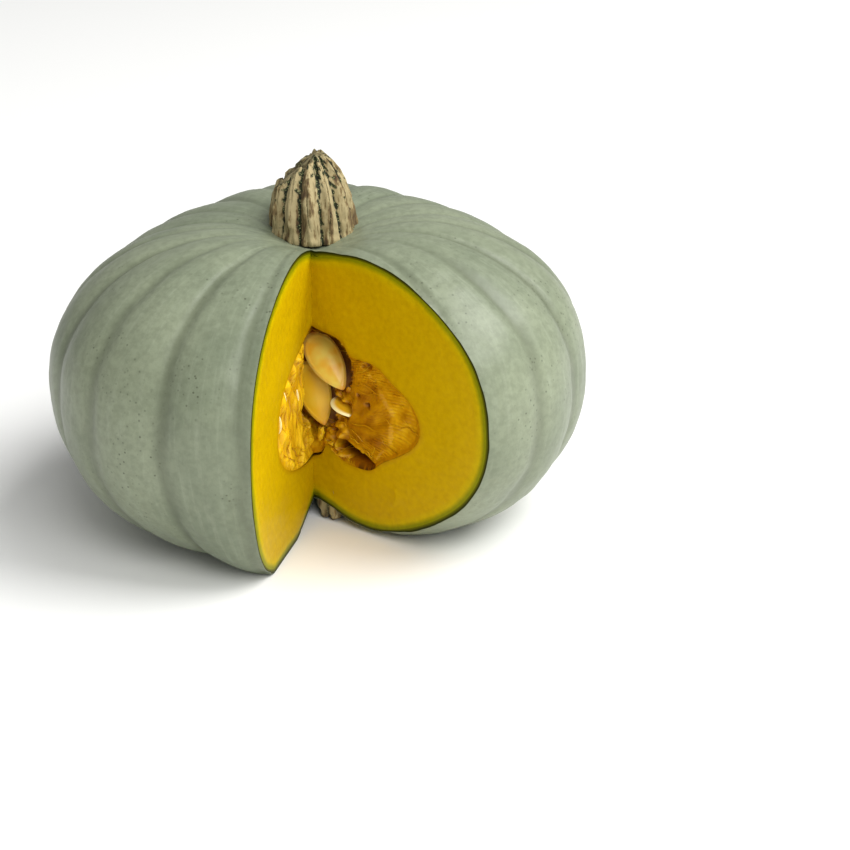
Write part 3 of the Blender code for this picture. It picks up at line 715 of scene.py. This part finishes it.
def leftRelief(sheet, steps, reach, angle):
    # the pulp at the left cut is flush with it, in upright wisps with a few hollows, and
    # stands open beside the loose seeds; its tone follows the relief as painted light and shade, and the
    # hollows and the open part are darkened as painted shade
    along, up = onCut(sheet, notch["left"])
    fromRim = (1.0 - steps)[None] * reach[:, None]
    upright = sheet * np.array((1.0, 1.0, 0.28))
    slow, quick = ripples(upright, 7.0, 61), ripples(upright, 2.6, 62)
    height = -pulp["leftBowl"] * (1.0 - np.exp(-fromRim / 2.0))
    wisps = combRidges(along + 0.10 * up + 0.9 * slow, 3.4, 0.5 * quick)
    clumps = ripples(sheet * np.array((1.0, 1.0, 0.5)), 6.0, 65)
    height += easeStep(fromRim / 3.0) * (0.40 * wisps + 0.9 * clumps + 0.35 * quick)
    # painted light and shade: the tone follows the wisps and clumps, lighter where raised
    tone = 0.78 + 0.08 * wisps + 0.15 * clumps + 0.08 * quick
    # painted shade: the hollows and the open part beside the seeds are darkened
    dark = np.zeros_like(tone)
    for place, level, size in pulp["leftHollows"]:
        shadedHollow = easeStep(1.3 - np.hypot(along - place, 0.6 * (up - level)) / size + 0.4 * quick)
        height -= 1.8 * shadedHollow
        dark = np.maximum(dark, 0.5 * shadedHollow)
    opened = easeStep((13.0 + 1.5 * quick - along) / 4.0) * easeStep((up + 14.0) / 5.0)
    height -= pulp["leftOpen"] * opened
    return height, np.clip(tone * (1.0 - np.maximum(dark, 0.35 * opened)), 0.0, 1.0)


def seedPockets(sheet, behind, height, tone):
    # the pulp lies back behind each loose seed, or behind the bare part of it, and is darkened there as painted shade
    for (middle, tip, facing), (shift, length, width, deep) in zip(seed["places"], pulp["pockets"]):
        tip, across, facing = seedWays(tip, facing)
        facing = facing * np.sign(facing @ -behind)
        offset = sheet - height[..., None] * behind - np.array(middle)
        size = np.hypot((offset @ tip - shift) / length, (offset @ across) / width)
        size = size + 0.05 * ripples(sheet, 3.0, 71) + 0.04 * ripples(sheet, 1.4, 72)
        clear = (seed["thickness"] / 2.0 + 0.8 + offset @ facing) / max(-facing @ behind, 0.35)
        inside = easeStep((1.10 - size) / 0.14) * easeStep((deep - np.abs(offset @ facing)) / 1.5)
        moved = np.clip(clear, 0.0, 11.0) * inside
        height = height - moved
        # painted shade: the pulp is darkened where it lies back
        tone = tone * (1.0 - 0.5 * inside * np.clip(moved, 0.0, 1.0))
    return height, tone


def pulpSheets():
    # each cut's sheet runs from the core line (step 0) to the cavity's rim (step 1), and
    # its relief is measured from the cut's own plane
    height = np.linspace(-90.0, 90.0, pulp["rows"])
    rise = np.sin(np.radians(height))
    steps = np.linspace(0.0, 1.0, pulp["steps"])
    coreRise = rise * np.where(rise < 0.0, *pulp["coreHeight"])
    core = np.array(pulp["core"]) + coreRise[:, None] * np.array((0.0, 0.0, 1.0))
    poles = np.abs(rise) ** 20
    around = np.linspace(notch["right"], notch["left"] + 360.0, pulp["backs"])
    reach = cavityReach(around, height)
    ways = waysFrom(around, height)
    back = meeting + (reach * pulp["fill"])[..., None] * ways
    sheets, tones = [], []
    for column, azimuth, side, relief in ((0, notch["right"], 90.0, rightRelief),
                                          (-1, notch["left"], -90.0, leftRelief)):
        behind = unitWay(azimuth + side, 0.0)
        share = 0.998 * (1.0 - poles) + pulp["fill"] * poles
        rim = meeting + (reach[:, column] * share)[:, None] * ways[:, column] + (0.15 * (1.0 - poles))[:, None] * behind
        back[:, column] = rim
        sheet = core[:, None] + steps[None, :, None] * (rim - core)[:, None]
        along, up = onCut(sheet, azimuth)
        fromPlane = (sheet - cutFoot - up[..., None] * lean) @ behind
        raised, tone = relief(sheet, steps, reach[:, column], height[:, None])
        raised = raised + fromPlane * easeStep((along + 4.0) / 6.0)
        raised, tone = seedPockets(sheet, behind, raised, tone)
        fade = np.clip(steps * 6.0, 0.0, 1.0)[None] * np.clip((1.0 - steps) * 30.0, 0.0, 1.0)[None]
        sheets.append(sheet - (raised * fade * (1.0 - poles[:, None]))[..., None] * behind)
        tones.append(tone)
    return sheets, tones, back


def sweepTubes(paths, radius):
    # round tubes along many paths at once; a tube's radius runs out to nothing at both ends
    steps = paths.shape[1]
    along = np.gradient(paths, axis=1)
    along /= np.linalg.norm(along, axis=-1, keepdims=True)
    side = np.cross(along, np.array((0.31, 0.22, 0.92)))
    side /= np.linalg.norm(side, axis=-1, keepdims=True)
    up = np.cross(side, along)
    ring = np.linspace(0.0, 2.0 * np.pi, 7)
    run = np.linspace(0.0, 1.0, steps)
    taper = radius[:, None] * np.minimum(1.0, 3.0 * np.sqrt(run * (1.0 - run)))
    spokes = (np.cos(ring)[None, None, :, None] * side[:, :, None]
              + np.sin(ring)[None, None, :, None] * up[:, :, None])
    return paths[:, :, None] + taper[..., None, None] * spokes


def strandPaths(sheet, azimuth, side, draw, count, alongRows):
    # short wandering runs over the pulp's surface, a little above it
    rows, steps = sheet.shape[:2]
    run = np.linspace(0.0, 1.0, 20)[None]
    bend = draw.normal(0.0, 1.0, (count, 3))
    wander = bend[:, :1] * run + 0.6 * bend[:, 1:2] * np.sin(4.0 * run) + 0.4 * bend[:, 2:] * np.sin(9.0 * run)
    row = draw.uniform(0.20, 0.82, (count, 1)) * rows
    step = draw.uniform(0.25, 0.95, (count, 1))
    length = draw.uniform(0.06, 0.22, (count, 1))
    if alongRows:
        row, step = row + 5.0 * wander, step + length * (run - 0.5)
    else:
        row, step = row + length * rows * 0.7 * (run - 0.5), step + 0.03 * wander
    row = np.clip(row, 2, rows - 3).round().astype(int)
    step = (np.clip(step, 0.05, 0.985) * (steps - 1)).round().astype(int)
    lift = 0.1 + 0.7 * draw.uniform(0.0, 1.0, (count, 1)) ** 2 * np.sin(np.pi * run)
    paths = sheet[row, step] - lift[..., None] * unitWay(azimuth + side, 0.0)
    for smoothing in range(4):
        paths[:, 1:-1] = (paths[:, :-2] + 2.0 * paths[:, 1:-1] + paths[:, 2:]) / 4.0
    return paths


def makePulp(material, strandMaterial):
    sheets, tones, back = pulpSheets()
    piece = buildPiece("pulpMass", sheets + [back], ["pulp"],
                       {"tone": tones + [np.full(back.shape[:2], 0.3)]}, sharp=80.0)
    piece.data.materials.append(material)
    draw = np.random.default_rng(pulp["seed"])
    tubes, tubeTones = [], []
    for sheet, azimuth, side, alongRows in ((sheets[0], notch["right"], 90.0, True),
                                            (sheets[1], notch["left"], -90.0, False)):
        paths = strandPaths(sheet, azimuth, side, draw, pulp["strands"], alongRows)
        tubes += list(sweepTubes(paths, draw.uniform(0.5, 1.3, pulp["strands"]) * pulp["strandRadius"]))
        tubeTones += list(draw.uniform(0.5, 0.85, pulp["strands"]))
    strands = buildPiece("pulpStrands", tubes, [],
                         {"tone": [np.full(tube.shape[:2], tone) for tube, tone in zip(tubes, tubeTones)]})
    strands.data.materials.append(strandMaterial)


def makeLumps(material):
    # torn bits: small round forms, longer one way, made uneven by ripples
    turn = np.linspace(0.0, 2.0 * np.pi, 30)[None]
    height = np.linspace(-0.5 * np.pi, 0.5 * np.pi, 18)[:, None]
    ball = np.stack(np.broadcast_arrays(np.cos(height) * np.cos(turn), np.cos(height) * np.sin(turn),
                                        np.sin(height) + 0.0 * turn), axis=-1)
    alongWay, outWay = unitWay(notch["right"], 0.0), unitWay(notch["right"] - 90.0, 0.0)
    sheets, tones = [], []
    for number, (along, up, out, length, width, tilt, yellow) in enumerate(pulp["lumps"]):
        uneven = 1.0 + 0.16 * ripples(ball, 1.1, 80 + number) + 0.10 * ripples(ball, 0.5, 100 + number)
        local = ball * uneven[..., None] * np.array((length, width, width * 0.8)) / 2.0
        c, s = math.cos(math.radians(tilt)), math.sin(math.radians(tilt))
        flat, rise = local[..., 0] * c - local[..., 1] * s, local[..., 0] * s + local[..., 1] * c
        middle = cutFoot + up * lean + along * alongWay + out * outWay
        sheets.append(middle + flat[..., None] * alongWay + rise[..., None] * leanWay + local[..., 2:] * outWay)
        tones.append(np.clip(yellow + 0.2 * ripples(sheets[-1], 2.0, 7), 0.0, 1.0))
    piece = buildPiece("pulpLumps", sheets, [], {"tone": tones}, sharp=80.0)
    piece.data.materials.append(material)


# Stem: a dome of cork strips with furrows between them, torn off slanting on its left

stem = {
    "middle": (-0.7, 12.0), "foot": 54.3, "seat": 55.5, "radius": 17.9, "height": 38.0,
    "ridges": 12, "ridgeDepth": 0.9, "tearLevel": 34.6, "tearSlope": 0.8,
    "rows": 210, "columns": 420, "furrowDepth": 1.2, "inset": 0.75, "footShare": 0.06,
}


def makeStem(material):
    # rings up the stem: the radius is a full dome with twelve ridges, less the furrows, which
    # widen upwards; the height is cut off by a slanting, ragged tear
    share = np.linspace(0.0, 1.0, stem["rows"])[:, None]
    turn = np.linspace(0.0, 2.0 * np.pi, stem["columns"])[None]
    foot = stem["footShare"]
    side = np.clip((share - foot) / (1.0 - foot), 0.0, 1.0) ** 0.9
    spread = np.where(share < foot, share / foot, np.maximum(1.0 - side ** 2.6, 0.0) ** (0.67 + 0.13 * np.cos(turn)))
    ridge = np.cos(stem["ridges"] * turn + 1.5 * side) * (0.3 + 0.7 * easeStep(side / 0.3)) + 0.5 * np.cos(5.0 * turn + 2.0)
    bark = np.stack(np.broadcast_arrays(18.0 * np.cos(turn), 18.0 * np.sin(turn), 8.0 * side), axis=-1)
    phase = stem["ridges"] * turn + 1.5 * side + np.pi + 0.45 * ripples(bark, 13.0, 51)
    width = 0.9 + 8.0 * (1.0 - side) ** 1.4
    furrow = np.exp((np.cos(phase) - 1.0) * width) * np.clip(0.85 + 0.45 * ripples(bark, 9.0, 52) + 0.3 * side, 0.0, 1.0)
    cracks = np.exp((np.cos(2.0 * phase + 1.6 * ripples(bark, 7.0, 58)) - 1.0) * 26.0)
    cracks = cracks * np.clip(0.3 + 0.7 * ripples(bark, 6.0, 59), 0.0, 1.0)
    strips = 0.32 * ripples(bark, 2.8, 53, 24) + 0.28 * ripples(bark, 5.0, 54)
    knobs = np.stack(np.broadcast_arrays(18.0 * np.cos(turn), 18.0 * np.sin(turn), 30.0 * side), axis=-1)
    strips = strips + 0.16 * ripples(knobs, 3.6, 60, 24)
    lip = 0.7 * np.exp(-((side - 0.05) / 0.05) ** 2)
    ease = np.minimum(spread * 2.0, 1.0)
    radius = stem["radius"] * spread + ease * (stem["ridgeDepth"] * ridge - stem["furrowDepth"] * furrow
                                               - 0.6 * cracks + strips + lip - stem["inset"])
    radius = np.maximum(radius, 0.0)
    across, along = radius * np.cos(turn), radius * np.sin(turn)
    level = stem["height"] * side
    flat = np.stack(np.broadcast_arrays(across, along, 0.0 * side), axis=-1)
    torn = (stem["tearLevel"] + stem["tearSlope"] * np.minimum(across - 1.5, 0.0)
            + 0.6 * ripples(flat, 6.0, 55) + 0.3 * ripples(flat, 2.2, 56) + 0.5 * np.sign(ripples(flat, 8.0, 63)))
    torn = np.minimum(torn, stem["tearLevel"] + 0.75)
    isTorn = level > torn
    level = np.minimum(level, torn)
    height = np.where(share < foot, stem["foot"] + (stem["seat"] - stem["foot"]) * share / foot, stem["seat"] + level)
    sheet = np.stack(np.broadcast_arrays(stem["middle"][0] + across, stem["middle"][1] + along, height), axis=-1)
    dark = easeStep((furrow + 0.22 * ripples(knobs, 2.0, 64) - 0.42 + 0.42 * side) / 0.25)
    dark = np.maximum(dark, 0.6 * easeStep((cracks - 0.25) / 0.3))
    dark = np.where(isTorn, 0.35 + 0.4 * np.clip(ripples(flat, 3.0, 57), 0, 1), dark)
    # painted shade: the foot, where the stem sits on the fruit, is darkened towards the furrow colour
    dark = np.maximum(dark, 0.55 * easeStep((0.03 - side) / 0.03))
    piece = buildPiece("stemCork", [sheet], ["stem"], {"furrow": [dark * np.ones(sheet.shape[:2])]}, sharp=80.0)
    piece.data.materials.append(material)


# Blossom scar: a ragged corky button with a pit

scar = {"middle": (6.6, -11.5), "radius": 7.2, "top": -44.0, "bottom": -61.0, "rows": 70, "columns": 150,
        "cleft": 4.14}  # way of the torn cleft, in radians


def makeScar(material):
    height = np.linspace(-90.0, 90.0, scar["rows"])[:, None]
    turn = np.linspace(0.0, 2.0 * np.pi, scar["columns"])[None]
    rise = np.sin(np.radians(height))
    level = np.maximum(np.cos(np.radians(height)), 0.0)
    ragged = 0.98 + 0.13 * np.cos(5.0 * turn) + 0.08 * np.cos(9.0 * turn + 1.0)
    cleft = np.exp(-((turn - scar["cleft"]) / 0.22) ** 2) * easeStep(0.5 - rise)
    radius = scar["radius"] * level ** 0.5 * ragged * 0.97 * (1.0 - 0.45 * cleft)
    middle = (scar["top"] + scar["bottom"]) / 2.0
    place = middle + (scar["top"] - scar["bottom"]) / 2.0 * rise
    place = np.where(rise < 0.0, place + 3.5 * np.exp(-(radius / 2.4) ** 2), place)
    x, y = radius * np.cos(turn), radius * np.sin(turn)
    round_ = np.stack(np.broadcast_arrays(x, y, place), axis=-1)
    grain = np.minimum(0.7 * ripples(round_, 3.0, 61), 0.5)
    x, y = x * (1.0 + grain / 8.0), y * (1.0 + grain / 8.0)
    place = place + 1.4 * np.maximum(ripples(round_, 4.0, 73), 0.0) * (rise < 0.0) * level
    sheet = np.stack(np.broadcast_arrays(scar["middle"][0] + x, scar["middle"][1] + y, place), axis=-1)
    square = wallNormal(notch["right"])
    past = (sheet - meeting) @ square
    sheet = sheet - np.where(past > -0.1, past + 0.1, 0.0)[..., None] * square
    pit = np.maximum(np.exp(-(radius / 2.2) ** 2) * (rise < 0.0), 0.9 * cleft)
    piece = buildPiece("scarCork", [sheet], ["blossom_scar"], {"furrow": [pit * np.ones(sheet.shape[:2])]})
    piece.data.materials.append(material)


outerSkin, innerSkin, buriedSkin, creases = skinSheets()
makeRind(outerSkin, innerSkin, buriedSkin, creases, rindMaterial())
makeFlesh(innerSkin, buriedSkin, fleshMaterial())
print("rind and flesh made")
tornPulp = pulpMaterial("pumpkin pulp, torn fibres")
makePulp(tornPulp, pulpMaterial("pumpkin pulp, single strands"))
makeLumps(tornPulp)
print("pulp made")
makeSeeds(seedMaterial())
makeStem(corkMaterial("dry stem cork, grown"))
makeScar(corkMaterial("scar cork, grown"))
print("seeds, stem and scar made")


# Floor, light and camera

studio = {
    "floor": "#f6f6f4", "floorSize": 9.0, "world": 0.31,
    "key": 144.0, "keySize": 2.6, "keyTurn": -5.0, "keyHeight": 52.0, "keyReach": 3.6,
    "fill": 72.0, "fillSize": 2.2, "fillTurn": -66.0, "fillHeight": 38.0, "fillReach": 3.6,
}


def makeFloor():
    half = studio["floorSize"] / 2.0
    mesh = bpy.data.meshes.new("floor")
    mesh.from_pydata([(-half, -half, 0), (half, -half, 0), (half, half, 0), (-half, half, 0)], [], [(0, 1, 2, 3)])
    floor = bpy.data.objects.new("floor", mesh)
    bpy.context.scene.collection.objects.link(floor)
    material, tree, shader = newMaterial("painted studio floor, matt", 0.9)
    place = addNode(tree, "ShaderNodeTexCoord").outputs["Object"]
    paint = addNode(tree, "ShaderNodeTexNoise", {"Vector": place}, {"Scale": 3.0})
    tone = addNode(tree, "ShaderNodeValToRGB", {0: paint.outputs[0]},
                   stops=((0.3, studio["floor"]), (0.7, "#f6f6f4")))
    tree.links.new(tone.outputs[0], shader.inputs["Base Color"])
    mesh.materials.append(material)


def softLight(name):
    # a square soft light on a sphere about the fruit, aimed at it
    data = bpy.data.lights.new(name, "AREA")
    data.energy, data.size = studio[name], studio[name + "Size"]
    light = bpy.data.objects.new(name, data)
    bpy.context.scene.collection.objects.link(light)
    way = unitWay(studio[name + "Turn"], studio[name + "Height"])
    light.location = way * studio[name + "Reach"] + np.array((0.0, 0.0, 0.06))
    light.rotation_euler = (math.radians(90.0 - studio[name + "Height"]), 0.0,
                            math.radians(studio[name + "Turn"] + 90.0))


def makeCamera():
    data = bpy.data.cameras.new("camera")
    data.sensor_width = 36.0
    data.lens = 2184.0 / 850.0 * 36.0
    camera = bpy.data.objects.new("camera", data)
    bpy.context.scene.collection.objects.link(camera)
    camera.location = (0.04693, -0.86858, 0.36976)
    camera.rotation_euler = (math.radians(68.85), 0.0, math.radians(0.25))
    bpy.context.scene.camera = camera


makeFloor()
softLight("key")
softLight("fill")
makeCamera()
world = bpy.data.worlds.new("pale studio")
bpy.context.scene.world = world
world.use_nodes = True
world.node_tree.nodes["Background"].inputs["Color"].default_value = (1.0, 1.0, 1.0, 1.0)
world.node_tree.nodes["Background"].inputs["Strength"].default_value = studio["world"]
bpy.context.scene.view_settings.view_transform = "Standard"
print("studio made")
